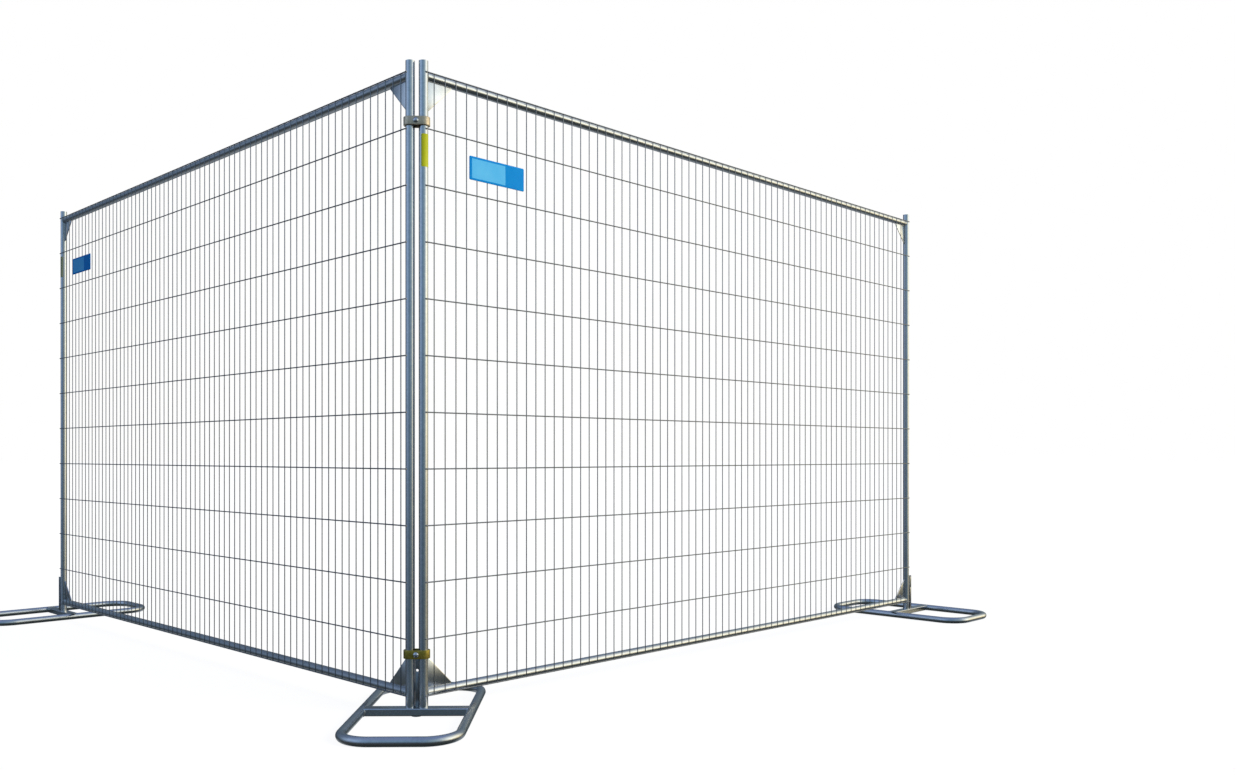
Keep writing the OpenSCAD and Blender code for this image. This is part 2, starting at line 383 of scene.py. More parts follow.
def straight(a: Sequence[float], b: Sequence[float]) -> list[Vector]:
    """Points for a bead along a line.

    Args:
        a: its start.
        b: its end.

    Returns:
        The points.
    """
    start_point, end_point = Vector(a), Vector(b)
    count = max(2, round((end_point - start_point).length / BEAD_STEP))
    return [start_point.lerp(end_point, i / count) for i in range(count + 1)]


# Finishes


def linear(code: str) -> tuple[float, float, float, float]:
    """Turns an sRGB hex colour into the linear values that a shader takes."""
    parts = [int(code[i:i + 2], 16) / 255 for i in (1, 3, 5)]
    return (*(c / 12.92 if c <= 0.04045 else ((c + 0.055) / 1.055) ** 2.4 for c in parts), 1.0)


def feed(tree: bpy.types.NodeTree, made: bpy.types.Node, links: dict) -> None:
    """Sets the inputs of a shader node.

    Args:
        tree: the node tree.
        made: the node.
        links: input name or number to an output socket or a plain value.
    """
    for key, value in links.items():
        if isinstance(value, Socket):
            tree.links.new(value, made.inputs[key])
        else:
            made.inputs[key].default_value = value


def node(tree: bpy.types.NodeTree, kind: str, links: Optional[dict] = None,
         **settings: object) -> bpy.types.Node:
    """Adds a shader node with its settings and links.

    Args:
        tree: the node tree.
        kind: the node's type.
        links: its inputs, as for feed.
        settings: attributes of the node.

    Returns:
        The node.
    """
    made = tree.nodes.new(kind)
    for key, value in settings.items():
        setattr(made, key, value)
    feed(tree, made, links or {})
    return made


def ramp(made: bpy.types.Node, stops: Iterable[tuple[float, str]]) -> bpy.types.Node:
    """Sets a colour ramp's stops.

    Args:
        made: the ramp node.
        stops: places and sRGB hex colours.

    Returns:
        The node.
    """
    bar = made.color_ramp.elements
    listed = list(stops)
    while len(bar) < len(listed):
        bar.new(0.5)
    for element, (place, code) in zip(bar, listed):
        element.position = place
        element.color = linear(code)
    return made


def fresh_material(name: str) -> tuple[bpy.types.Material, bpy.types.NodeTree, bpy.types.Node]:
    """Starts a material.

    Args:
        name: the material's name.

    Returns:
        The material, its node tree and its shader.
    """
    made = bpy.data.materials.new(name)
    made.use_nodes = True
    return made, made.node_tree, made.node_tree.nodes["Principled BSDF"]


@dataclass(frozen=True)
class ZincFinish:
    """A zinc coat on steel: crystals in patches, a soft sheen and light weathering.

    The crystals give the eye patches of slightly different grey, and weathering dulls the sheen in clouds.
    """

    name: str
    dark: str
    middle: str
    light: str
    metallic: float
    rough: tuple[float, float]
    crystal_mm: float
    cloud_mm: float
    bump: float
    crystal_share: float = 0.35
    grain_mm: float = 2.5
    relief_mm: float = 0.6

    def build(self) -> bpy.types.Material:
        """Makes the material.

        Returns:
            The material.
        """
        made, tree, shader = fresh_material(self.name)
        place = node(tree, "ShaderNodeTexCoord").outputs["Object"]
        crystal = node(tree, "ShaderNodeTexVoronoi", {"Vector": place, "Scale": PER_METRE / self.crystal_mm})
        cloud = node(tree, "ShaderNodeTexNoise", {"Vector": place, "Scale": PER_METRE / self.cloud_mm,
                                                  "Detail": 4.0})
        patch = node(tree, "ShaderNodeSeparateColor", {"Color": crystal.outputs["Color"]})
        blend = node(tree, "ShaderNodeMath", {0: patch.outputs["Red"], 1: self.crystal_share},
                     operation="MULTIPLY")
        total = node(tree, "ShaderNodeMath",
                     {0: cloud.outputs["Fac"], 1: 1 - self.crystal_share, 2: blend.outputs[0]},
                     operation="MULTIPLY_ADD")
        colour = ramp(node(tree, "ShaderNodeValToRGB", {"Fac": total.outputs[0]}),
                      ((0.25, self.dark), (0.5, self.middle), (0.75, self.light)))
        rough = node(tree, "ShaderNodeMapRange",
                     {"Value": cloud.outputs["Fac"], "From Min": 0.3, "From Max": 0.7,
                      "To Min": self.rough[0], "To Max": self.rough[1]})
        grain = node(tree, "ShaderNodeTexNoise", {"Vector": place, "Scale": PER_METRE / self.grain_mm,
                                                  "Detail": 2.0})
        relief = node(tree, "ShaderNodeBump", {"Height": grain.outputs["Fac"], "Strength": self.bump,
                                               "Distance": self.relief_mm * MM})
        feed(tree, shader, {"Base Color": colour.outputs["Color"], "Roughness": rough.outputs["Result"],
                            "Normal": relief.outputs["Normal"], "Metallic": self.metallic})
        return made


@dataclass(frozen=True)
class PrintFinish:
    """Printed plastic film or board: an even colour with faint fading, a light gloss and fine scuffs."""

    name: str
    colour: str
    faded: str
    rough: float
    coat: float
    specular: float
    fade_mm: float = 60.0
    scuff_mm: float = 4.0
    scuff_rough: float = 0.2
    plastic_ior: float = 1.49

    def build(self) -> bpy.types.Material:
        """Makes the material.

        Returns:
            The material.
        """
        made, tree, shader = fresh_material(self.name)
        place = node(tree, "ShaderNodeTexCoord").outputs["Object"]
        fade, scuff = (node(tree, "ShaderNodeTexNoise",
                            {"Vector": place, "Scale": PER_METRE / size, "Detail": detail})
                       for size, detail in ((self.fade_mm, 3.0), (self.scuff_mm, 5.0)))
        colour = ramp(node(tree, "ShaderNodeValToRGB", {"Fac": fade.outputs["Fac"]}),
                      ((0.35, self.colour), (0.75, self.faded)))
        rough = node(tree, "ShaderNodeMapRange",
                     {"Value": scuff.outputs["Fac"], "From Min": 0.35, "From Max": 0.7,
                      "To Min": self.rough, "To Max": self.rough + self.scuff_rough})
        feed(tree, shader, {"Base Color": colour.outputs["Color"], "Roughness": rough.outputs["Result"],
                            "IOR": self.plastic_ior, "Coat Weight": self.coat,
                            "Specular IOR Level": self.specular})
        return made


Finish = ZincFinish | PrintFinish
# Hot dip galvanised tube: neutral zinc that mirrors the sky softly, with faint large crystals
TUBE = ZincFinish("galvanised_tube_zinc", "#BEC1C4", "#C6C9CC", "#CED0D2", 1.0, (0.18, 0.26), 9, 160, 0.0)
# Galvanised drawn wire: duller and darker, with crystals too fine to count
WIRE = ZincFinish("galvanised_wire_zinc", "#76787C", "#828488", "#8E9094", 1.0, (0.24, 0.32), 5, 220, 0.0)
# Galvanised plate: paler and smoother than tube, so that it mirrors the sky as one even tone
PLATE = ZincFinish("galvanised_plate_zinc", "#CCCED0", "#D4D6D7", "#DCDDDE", 1.0, (0.18, 0.24), 12, 140, 0.0)
# Zinc on hot rolled bar for the uprights: duller than tube, and darker as painted shade for the shadowed gap
# between the posts
SHADED_BAR = ZincFinish("shaded_bar_zinc", "#989B9E", "#A4A7AA", "#B0B3B6", 1.0, (0.26, 0.34), 9, 90, 0.0)
# Weld metal under zinc: rough and a little darker than the tube
WELD = ZincFinish("weld_metal_zinc", "#9A9EA2", "#ABAFB3", "#BBBEC1", 0.9, (0.34, 0.48), 3, 18, 0.3)
# Yellow passivated zinc on pressed steel, in two copies: darker olive on the lower coupler as painted shade,
# and a paler, greyer straw on the upper one as painted sky light
SHADED_JAW = ZincFinish("shaded_passivated_zinc", "#9A8A38", "#A89642", "#B6A452",
                       0.85, (0.24, 0.34), 6, 22, 0.02)
LIT_JAW = ZincFinish("lit_passivated_zinc", "#BEAC90", "#CCB99C", "#D8C7AC",
                       0.85, (0.24, 0.34), 6, 22, 0.02)
# Bright zinc on fasteners: pale and smooth
FASTENER = ZincFinish("bright_zinc_fastener", "#BEC0C2", "#CACCCE", "#D6D8D9", 1.0, (0.16, 0.24), 5, 14, 0.03)
# Aluminium board with a printed blue film
SIGN_EDGE = PrintFinish("blue_board_print", "#007FD0", "#0A88D4", 0.5, 0.0, 0.12)
SIGN_FIELD = PrintFinish("pale_blue_field_print", "#52B2EC", "#5EB9EE", 0.5, 0.0, 0.12)
# Yellow green vinyl film, and a darker, greyer copy of the same film on the left panel as painted shade
LABEL = PrintFinish("yellow_vinyl_film", "#B0B606", "#BCC21A", 0.30, 0.2, 0.25)
SHADED_LABEL = PrintFinish("shaded_vinyl_film", "#7E8868", "#8C9478", 0.40, 0.2, 0.4)


@dataclass
class Paintbox:
    """All materials, made once."""

    made: dict[str, bpy.types.Material] = field(default_factory=dict)

    def get(self, finish: Finish) -> bpy.types.Material:
        """The material of a finish.

        Args:
            finish: the finish.

        Returns:
            Its material.
        """
        if finish.name not in self.made:
            self.made[finish.name] = finish.build()
        return self.made[finish.name]

    def coat(self, obj: Obj, *finishes: Finish) -> None:
        """Gives an object its materials.

        Args:
            obj: the object.
            finishes: its finishes, in slot order.
        """
        while len(obj.material_slots) < len(finishes):
            obj.data.materials.append(None)
        for holder, finish in zip(obj.material_slots, finishes):
            holder.material = self.get(finish)


PAINT = Paintbox()


def keep_node(name: str, finish: Finish) -> None:
    """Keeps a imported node's shape and gives it a finish."""
    PAINT.coat(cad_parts[name], finish)
    LOG.info("kept %s in %s", name, finish.name)


def deliver(obj: Obj, body: str, slot: str, *finishes: Finish,
            stands_for: str = "") -> None:
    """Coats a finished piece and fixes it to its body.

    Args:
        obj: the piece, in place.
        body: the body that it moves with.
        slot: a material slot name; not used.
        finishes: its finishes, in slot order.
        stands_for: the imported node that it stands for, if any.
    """
    PAINT.coat(obj, *finishes)
    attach(obj, body)
    if stands_for:
        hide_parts(stands_for)
    LOG.info("made %s on %s with %d faces", obj.name, body, len(obj.data.polygons))


# Sub-assemblies


@dataclass
class MeshPanel:
    """One welded mesh panel. Sizes are in millimetres and degrees, in the panel's own frame."""

    side: Side
    row_count: int = 12
    row_inset: float = 44.5
    rail_inset: float = 53.5
    v_off: float = 15.45
    v_wire_r: float = 2.0
    rail_off: float = 4.05
    gusset_leg: float = 110.0
    gusset_cut: float = 6.0
    gusset_t: float = 4.0
    gusset_round: float = 0.7
    gusset_bead: float = 1.8
    bead_lift: float = 0.6
    bead_from: float = 2.0
    bead_short: float = 3.0
    ring_bead: float = 2.2
    ring_lift: float = 0.3
    ring_open: float = 52.0
    ring_steps: int = 48
    fill_in: float = 1.8
    fill_t: float = 3.0
    fill_lap: float = 0.1
    cross_weld_r: float = 3.1
    row_weld_r: float = 4.0
    sign_w: float = 276.0
    sign_h: float = 92.0
    sign_t: float = 2.0
    sign_x: float = 339.0
    sign_rad: float = 5.0
    sign_round: float = 0.35
    field_x: tuple[float, float] = (0.045, 0.65)
    field_z: tuple[float, float] = (0.09, 0.91)
    label_h: float = 123.0
    label_w: float = 39.6
    label_t: float = 0.35
    label_rad: float = 5.0
    label_lift: float = 0.08
    label_above_sign: float = 25.0
    label_slices: int = 24

    @property
    def body(self) -> str:
        """The body that the panel is."""
        return f"{self.side.value}_panel"

    @property
    def row_pitch(self) -> float:
        """Pitch of the horizontal wires."""
        return (LAYOUT.post_len - 2 * self.row_inset) / (self.row_count - 1)

    @property
    def sign_z(self) -> float:
        """Height of the sign plate's middle."""
        return LAYOUT.post_len - self.row_inset - 1.5 * self.row_pitch

    def node(self, piece: str) -> str:
        """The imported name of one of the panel's pieces."""
        return f"{self.side.value}_{piece}"

    def end_name(self, at_right: bool) -> str:
        """Whether an end of the panel is at the corner or at the far end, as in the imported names."""
        return "corner" if at_right == (self.side is Side.LEFT) else "end"

    def place(self, obj: Obj) -> Obj:
        """Moves a shape from the panel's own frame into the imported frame."""
        return settle(obj, LAYOUT.panel_matrix(self.side))

    @staticmethod
    def from_post(x: float, at_right: bool) -> float:
        """Turns a distance from the left or the right post into an X."""
        return LAYOUT.span - x if at_right else x

    @staticmethod
    def from_end(z: float, at_top: bool) -> float:
        """Turns a distance from the posts' feet or tops into a height."""
        return LAYOUT.post_len - z if at_top else z

    def rail_side(self, y: float) -> float:
        """Distance from the posts' ends to a rail's inner side, at a distance behind the posts' middle."""
        return self.rail_inset + math.sqrt(LAYOUT.tube_r ** 2 - (self.rail_off - y) ** 2)

    def gusset(self, at_right: bool, at_top: bool) -> None:
        """Models one corner gusset with rounded edges and its weld beads.

        Args:
            at_right: whether it is at the panel's right post.
            at_top: whether it is under the top rail.
        """
        half = self.gusset_t / 2
        x0 = LAYOUT.tube_r + SEAT
        z0 = self.rail_side(half) + SEAT
        leg, tip = self.gusset_leg, self.gusset_cut
        outline = [(x0, z0), (x0 + leg, z0), (x0 + leg, z0 + tip), (x0 + tip, z0 + leg), (x0, z0 + leg)]
        tag = f"gusset_{self.end_name(at_right)}_{'top' if at_top else 'bottom'}"
        plate = start(self.node(tag) + "_plate", "circle", vertices=len(outline), radius=1, fill_type="NGON")
        for vertex, (x, z) in zip(plate.data.vertices, outline):
            vertex.co = (self.from_post(x, at_right), -half, self.from_end(z, at_top))
        pick(plate, faces=lambda face: True)
        bpy.ops.mesh.extrude_region_move(TRANSFORM_OT_translate={"value": (0, self.gusset_t, 0)})
        done()
        outward(plate)
        round_edges(plate, self.gusset_round, 2, 30)
        smooth(plate, 40)
        deliver(self.place(plate), self.body, "galvanised_tube", PLATE, stands_for=self.node(tag))
        runs = []
        for y in (-half, half):
            rail_z = self.rail_side(y) + self.bead_lift
            post_x = math.sqrt(LAYOUT.tube_r ** 2 - y ** 2) + self.bead_lift
            on_rail = ((x0 + self.bead_from, rail_z), (x0 + leg - self.bead_short, rail_z))
            on_post = ((post_x, z0 + self.bead_from), (post_x, z0 + leg - self.bead_short))
            for ends in (on_rail, on_post):
                runs.append(straight(*((self.from_post(x, at_right), y, self.from_end(z, at_top))
                                       for x, z in ends)))
        welds = merge(self.node(tag) + "_welds",
                      [bead(f"{tag}_run{i}", run, self.gusset_bead) for i, run in enumerate(runs)])
        deliver(self.place(welds), self.body, "galvanised_tube", WELD)

    def rail_welds(self, at_top: bool) -> None:
        """Models the beads where a rail's two coped ends meet the posts, and the fill beside them.

        Args:
            at_top: whether it is the top rail.
        """
        radius = LAYOUT.tube_r + self.ring_lift
        z0 = self.from_end(self.rail_inset, at_top)
        parts = []
        for at_right in (False, True):
            path = []
            for i in range(self.ring_steps + 1):
                turn = math.radians(self.ring_open + (360 - 2 * self.ring_open) * i / self.ring_steps)
                y = self.rail_off + radius * math.cos(turn)
                x = math.sqrt(radius ** 2 - y * y)
                path.append(Vector((self.from_post(x, at_right), y, z0 + radius * math.sin(turn))))
            parts += [bead("ring", path, self.ring_bead), self.rail_fill(at_right, z0)]
        welds = merge(self.node("top_rail_welds" if at_top else "bottom_rail_welds"), parts)
        deliver(self.place(welds), self.body, "galvanised_tube", WELD)

    def rail_fill(self, at_right: bool, z0: float) -> Obj:
        """Models the weld metal that closes a rail's end where it stands clear of the post.

        Args:
            at_right: whether it is at the panel's right post.
            z0: the rail's height.

        Returns:
            The fill.
        """
        middle = (self.from_post(LAYOUT.tube_r / 2 + self.fill_in, at_right), self.rail_off, z0)
        fill = start("fill", "cylinder", vertices=48, radius=LAYOUT.tube_r - LAYOUT.tube_wall + self.fill_lap,
                     depth=self.fill_t, location=middle, rotation=(0, math.pi / 2, 0))
        settle(fill)
        post = start("post_room", "cylinder", vertices=96, radius=LAYOUT.tube_r + self.fill_lap,
                     depth=3 * LAYOUT.tube_r, location=(self.from_post(0, at_right), 0, z0))
        cut(fill, settle(post))
        smooth(fill, 30)
        return fill

    def wire_welds(self) -> None:
        """Models the spot welds where the two wire layers cross, and where rows meet the posts."""
        up = ((0, 0, self.row_pitch), self.row_count)
        cross = start(self.node("wire_crossing_welds"), "ico_sphere", subdivisions=1,
                      radius=self.cross_weld_r)
        cross.scale = (1.0, 0.62, 1.0)
        cross.location = (LAYOUT.edge_gap, -(self.v_off + self.v_wire_r), self.row_inset)
        settle(cross)
        repeat(cross, ((LAYOUT.wire_pitch, 0, 0), LAYOUT.wire_count), up)
        deliver(self.place(cross), self.body, "galvanised_wire", WIRE)
        ends = start(self.node("row_end_welds"), "uv_sphere", segments=10, ring_count=6,
                     radius=self.row_weld_r)
        ends.scale = (1.0, 0.5, 0.9)
        ends.location = (0, -LAYOUT.tube_r, self.row_inset)
        settle(ends)
        repeat(ends, ((LAYOUT.span, 0, 0), 2), up)
        deliver(self.place(ends), self.body, "galvanised_tube", WELD)

    def sign(self) -> None:
        """Models the sign plate with round corners and its pale field."""
        back = self.v_off + self.v_wire_r + SEAT
        low = Vector((self.sign_x - self.sign_w / 2, -back - self.sign_t, self.sign_z - self.sign_h / 2))
        size = Vector((self.sign_w, self.sign_t, self.sign_h))
        plate = start(self.node("sign_plate_board"), "cube", size=1, location=low + size / 2, scale=size)
        settle(plate)
        pick(plate, edges=lambda a, b: abs(a.y - b.y) > 1)
        bpy.ops.mesh.bevel(offset=self.sign_rad, segments=5)
        done()
        pick(plate, edges=lambda a, b: abs(a.y - b.y) < 0.01)
        bpy.ops.mesh.bevel(offset=self.sign_round, segments=2)
        done()
        edges = [("x", low.x + share * size.x) for share in self.field_x]
        edges += [("z", low.z + share * size.z) for share in self.field_z]
        for axis, at in edges:
            pick(plate, faces=lambda face: face.normal.y < -0.99)
            spot = (at, 0, 0) if axis == "x" else (0, 0, at)
            bpy.ops.mesh.bisect(plane_co=spot, plane_no=(1, 0, 0) if axis == "x" else (0, 0, 1))
            done()
        self.paint_field(plate, edges)
        smooth(plate, 40)
        self.place(plate)
        deliver(plate, self.body, "sign_blue", SIGN_EDGE, SIGN_FIELD, stands_for=self.node("sign_plate"))

    @staticmethod
    def paint_field(plate: Obj, edges: Sequence[tuple[str, float]]) -> None:
        """Gives the faces inside the printed field the second finish.

        Args:
            plate: the sign plate.
            edges: the field's four sides.
        """
        (_, x0), (_, x1), (_, z0), (_, z1) = edges
        plate.data.materials.append(None)
        plate.data.materials.append(None)
        for face in plate.data.polygons:
            inside = x0 < face.center.x < x1 and z0 < face.center.z < z1 and face.normal.y < -0.99
            face.material_index = 1 if inside else 0

    def label(self) -> None:
        """Models the post label: a film with round corners, wrapped on the post's outer face."""
        film = start(self.node("post_label_film"), "plane", size=1)
        film.scale = (self.label_w, self.label_h, 1)
        settle(film)
        pick(film, points=lambda co: True)
        bpy.ops.mesh.bevel(offset=self.label_rad, segments=6, affect="VERTICES")
        for i in range(1, self.label_slices):
            bpy.ops.mesh.select_all(action="SELECT")
            at = self.label_w * (i / self.label_slices - 0.5)
            bpy.ops.mesh.bisect(plane_co=(at, 0, 0), plane_no=(1, 0, 0))
        done()
        radius = LAYOUT.tube_r + self.label_lift
        middle = self.sign_z + self.label_above_sign
        for vertex in film.data.vertices:
            turn = vertex.co.x / radius
            vertex.co = (radius * math.sin(turn), -radius * math.cos(turn), middle + vertex.co.y)
        outward(film)
        first = film.data.polygons[0]
        if first.normal.dot(first.center - Vector((0, 0, middle))) < 0:
            film.data.flip_normals()
        modify(film, "SOLIDIFY", thickness=self.label_t, offset=1.0)
        smooth(film, 50)
        # The left panel's label takes the darker copy of the film: painted shade
        finish = SHADED_LABEL if self.side is Side.LEFT else LABEL
        deliver(self.place(film), self.body, "label_yellow", finish, stands_for=self.node("post_label"))

    def build(self) -> None:
        """Builds and dresses the panel. Other pieces don't mirror its wires."""
        for piece in ("corner_post", "end_post", "top_rail", "bottom_rail", "sign_clamps"):
            keep_node(self.node(piece), TUBE)
        for piece in ("vertical_wires", "horizontal_wires"):
            keep_node(self.node(piece), WIRE)
            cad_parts[self.node(piece)].visible_glossy = False
        for at_right in (False, True):
            for at_top in (False, True):
                self.gusset(at_right, at_top)
        for at_top in (False, True):
            self.rail_welds(at_top)
        self.wire_welds()
        self.sign()
        self.label()


@dataclass
class Stand:
    """One tubular stand. Sizes are in millimetres, in the stand's own frame."""

    place: Place
    bar_w: float = 50.0
    bar_h: float = 28.5
    bar_rad: float = 4.0
    bar_bead: float = 2.2
    bar_bead_steps: int = 12
    upright_w: float = 17.0
    upright_h: float = 203.0
    upright_t: float = 8.0
    upright_round: float = 0.5
    hole_d: float = 10.5
    hole_z: float = 135.0
    notch_r: float = 4.7
    notch_z: float = 199.0
    notch_room: float = 40.0
    back_bead: float = 1.6
    front_bead: float = 1.2
    front_bead_in: float = 4.0
    back_bead_past: float = 0.1
    bead_lift: float = 0.3
    bead_off: float = 0.4

    @property
    def body(self) -> str:
        """The body that the stand belongs to."""
        return "corner_base" if self.place is Place.CORNER else f"{self.place.value}_stand"

    def node(self, piece: str) -> str:
        """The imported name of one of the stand's pieces."""
        return f"{self.place.value}_stand_{piece}"

    def put(self, obj: Obj) -> Obj:
        """Moves a shape from the stand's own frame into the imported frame."""
        return settle(obj, LAYOUT.stand_matrix(self.place))

    def upright(self) -> None:
        """Models the flat upright with its cross hole and the notch for a coupler's bolt."""
        size = Vector((self.upright_w, self.upright_t, self.upright_h))
        middle = (0, LAYOUT.tube_r - self.upright_t / 2, LAYOUT.foot_z + self.upright_h / 2)
        bar = start(self.node("upright_bar"), "cube", size=1, scale=size, location=middle)
        settle(bar)
        deep = 3 * LAYOUT.tube_od
        for radius, height in ((self.hole_d / 2, self.hole_z), (self.notch_r, self.notch_z)):
            drill = start("drill", "cylinder", vertices=48, radius=radius, depth=deep,
                          rotation=(math.pi / 2, 0, 0), location=(0, 0, LAYOUT.foot_z + height))
            cut(bar, settle(drill))
        slot = start("slot", "cube", size=1, scale=(2 * self.notch_r, deep, self.notch_room),
                     location=(0, 0, LAYOUT.foot_z + self.notch_z + self.notch_room / 2))
        cut(bar, settle(slot))
        round_edges(bar, self.upright_round, 2, 50)
        smooth(bar, 40)
        # The upright takes the darker bar zinc: painted shade of the gap between the posts
        deliver(self.put(bar), self.body, "galvanised_tube", SHADED_BAR, stands_for=self.node("upright"))

    def loop_side(self, level: float) -> float:
        """Distance from the stand's middle to a bead on its loop's inner side, at a height."""
        away = math.sqrt(LAYOUT.tube_r ** 2 - (level - LAYOUT.tube_r) ** 2)
        return LAYOUT.loop_wid / 2 - away - self.bead_off

    def welds(self) -> None:
        """Models the beads round the upright's foot and at the crossbar's ends."""
        z = LAYOUT.foot_z + self.bead_off
        x = self.upright_w / 2 + self.back_bead_past
        back = LAYOUT.tube_r + self.bead_lift
        front = LAYOUT.tube_r - self.upright_t - self.bead_lift
        x_in = x - self.front_bead_in
        runs = [bead("back", straight((-x, back, z), (x, back, z)), self.back_bead),
                bead("front", straight((-x_in, front, z), (x_in, front, z)), self.front_bead)]
        half = self.bar_w / 2 - self.bar_rad
        for s in (-1, 1):
            for drop, lift in ((0, self.bead_lift), (self.bar_h, -self.bead_lift)):
                level = LAYOUT.foot_z - drop
                at = s * self.loop_side(level)
                line = straight((at, -half, level + lift), (at, half, level + lift))
                runs.append(bead("bar", line, self.bar_bead))
            for side in (-1, 1):
                path = []
                for i in range(self.bar_bead_steps + 1):
                    drop = (self.bar_h - 2 * self.bar_rad) * i / self.bar_bead_steps
                    level = LAYOUT.foot_z - self.bar_rad - drop
                    y = side * (self.bar_w / 2 + self.bead_lift)
                    path.append(Vector((s * self.loop_side(level), y, level)))
                runs.append(bead("side", path, self.bar_bead))
        deliver(self.put(merge(self.node("welds"), runs)), self.body, "galvanised_tube", WELD)

    def build(self) -> None:
        """Builds and dresses the stand."""
        for piece in ("loop", "crossbar", "pad", "spigots" if self.place is Place.CORNER else "spigot"):
            keep_node(self.node(piece), TUBE)
        self.upright()
        self.welds()


@dataclass
class Coupler:
    """One post coupler. Sizes are in millimetres, with the bolt along +Y."""

    level: Level
    lower_z: float = 199.0
    upper_drop: float = 227.0
    jaw_r: float = 17.85
    jaw_t: float = 7.0
    jaw_h: float = 32.0
    jaw_gap: float = 3.0
    jaw_round: float = 2.2
    bolt_d: float = 8.0
    head_d: float = 20.6
    head_h: float = 5.0
    head_seat: float = 0.1
    head_rim: float = 0.5
    cup_steps: int = 8
    cup_share: float = 0.985
    washer_t: float = 1.6
    washer_play: float = 0.3
    nut_h: float = 6.5
    nut_af: float = 13.0
    nut_chamfer: float = 0.75
    bore_play: float = 0.05
    bolt_past: float = 6.2
    pitch: float = 1.25
    thread_deep: float = 0.62

    @property
    def out(self) -> float:
        """Distance of a jaw's outer face from the bolt's middle plane."""
        return self.jaw_r + self.jaw_t

    @property
    def jaw_body(self) -> str:
        """The body that the rear jaw is."""
        return f"{self.level.value}_jaw"

    def node(self, piece: str) -> str:
        """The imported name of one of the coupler's pieces."""
        return f"{self.level.value}_coupler_{piece}"

    def put(self, obj: Obj) -> Obj:
        """Moves a shape from the coupler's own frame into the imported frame."""
        height = self.lower_z if self.level is Level.LOWER else LAYOUT.post_len - self.upper_drop
        return settle(obj, millimetre_matrix((0, LAYOUT.corner_y, LAYOUT.foot_z + height), 0))

    def jaw(self, front: bool) -> None:
        """Models one pressed jaw with rounded edges.

        Args:
            front: whether it is the jaw under the bolt's head.
        """
        name = "front_jaw" if front else "rear_jaw"
        band = start(self.node(name) + "_pressing", "circle", vertices=72, radius=self.jaw_r)
        band.location = (0, 0, -self.jaw_h / 2)
        settle(band)
        for s in (-1, 1):
            pick(band, points=lambda co: co.x * s > 0.01)
            bpy.ops.transform.translate(value=(s * LAYOUT.pair / 2, 0, 0))
            done()
        toward = -1 if front else 1
        pick(band, points=lambda co: co.y * toward < self.jaw_gap / 2)
        bpy.ops.mesh.delete(type="VERT")
        bpy.ops.mesh.select_all(action="SELECT")
        bpy.ops.mesh.extrude_region_move(TRANSFORM_OT_translate={"value": (0, 0, self.jaw_h)})
        done()
        outward(band)
        middle = min(band.data.polygons, key=lambda face: abs(face.center.x))
        if middle.normal.y * toward < 0:
            band.data.flip_normals()
        modify(band, "SOLIDIFY", thickness=self.jaw_t, offset=1.0, use_even_offset=True)
        round_edges(band, self.jaw_round, 4, 40)
        smooth(band, 40)
        body = "corner_base" if front else self.jaw_body
        # The upper coupler takes the paler copy and the lower one the darker copy: painted light and shade
        finish = LIT_JAW if self.level is Level.UPPER else SHADED_JAW
        deliver(self.put(band), body, "yellow_zinc", finish, stands_for=self.node(name))

    def turned(self, name: str, profile: Sequence[tuple[float, float]], steps: int = 40) -> Obj:
        """Spins a profile about the bolt's axis.

        Args:
            name: the piece's name.
            profile: distances from the axis and places along it.
            steps: faces round the axis.

        Returns:
            The closed shape.
        """
        shape = start(name, "circle", vertices=len(profile), radius=1)
        for vertex, (radius, along) in zip(shape.data.vertices, profile):
            vertex.co = (radius, along, 0)
        pick(shape, points=lambda co: True)
        bpy.ops.mesh.spin(steps=steps, angle=math.tau, center=(0, 0, 0), axis=(0, 1, 0))
        done()
        outward(shape)
        return shape

    def bolt(self) -> None:
        """Models the cup head bolt with its thread, drawn as rings."""
        r, head_r, out = self.bolt_d / 2, self.head_d / 2, self.out
        cap = (self.head_d ** 2 / 4 + self.head_h ** 2) / (2 * self.head_h)
        profile = [(0.0, -out - self.head_h)]
        for i in range(1, self.cup_steps + 1):
            away = head_r * i / self.cup_steps * self.cup_share
            profile.append((away, -out - self.head_h + cap - math.sqrt(cap * cap - away * away)))
        seat = -out - self.head_seat
        profile += [(head_r, -out - self.head_rim), (head_r, seat), (r, seat)]
        end = out + self.washer_t + self.nut_h + self.bolt_past
        along = out - 4
        profile.append((r, along))
        while along < end - 1.5:
            profile += [(r, along + 0.3), (r - self.thread_deep, along + 0.85)]
            along += self.pitch
        profile += [(r, end - 1.0), (r - 0.9, end), (0.0, end)]
        shape = self.turned(self.node("bolt") + "_cup_head", profile)
        smooth(shape, 35)
        deliver(self.put(shape), "corner_base", "bright_zinc", FASTENER, stands_for=self.node("bolt"))

    def washer(self) -> None:
        """Models the washer with its rounded rim."""
        r, base = self.bolt_d / 2 + self.washer_play, self.out
        rim = self.bolt_d
        profile = [(r, base), (rim - 0.3, base), (rim, base + 0.3), (rim, base + self.washer_t - 0.4),
                   (rim - 0.4, base + self.washer_t), (r, base + self.washer_t)]
        shape = self.turned(self.node("washer") + "_ring", profile)
        smooth(shape, 35)
        deliver(self.put(shape), self.jaw_body, "bright_zinc", FASTENER, stands_for=self.node("washer"))

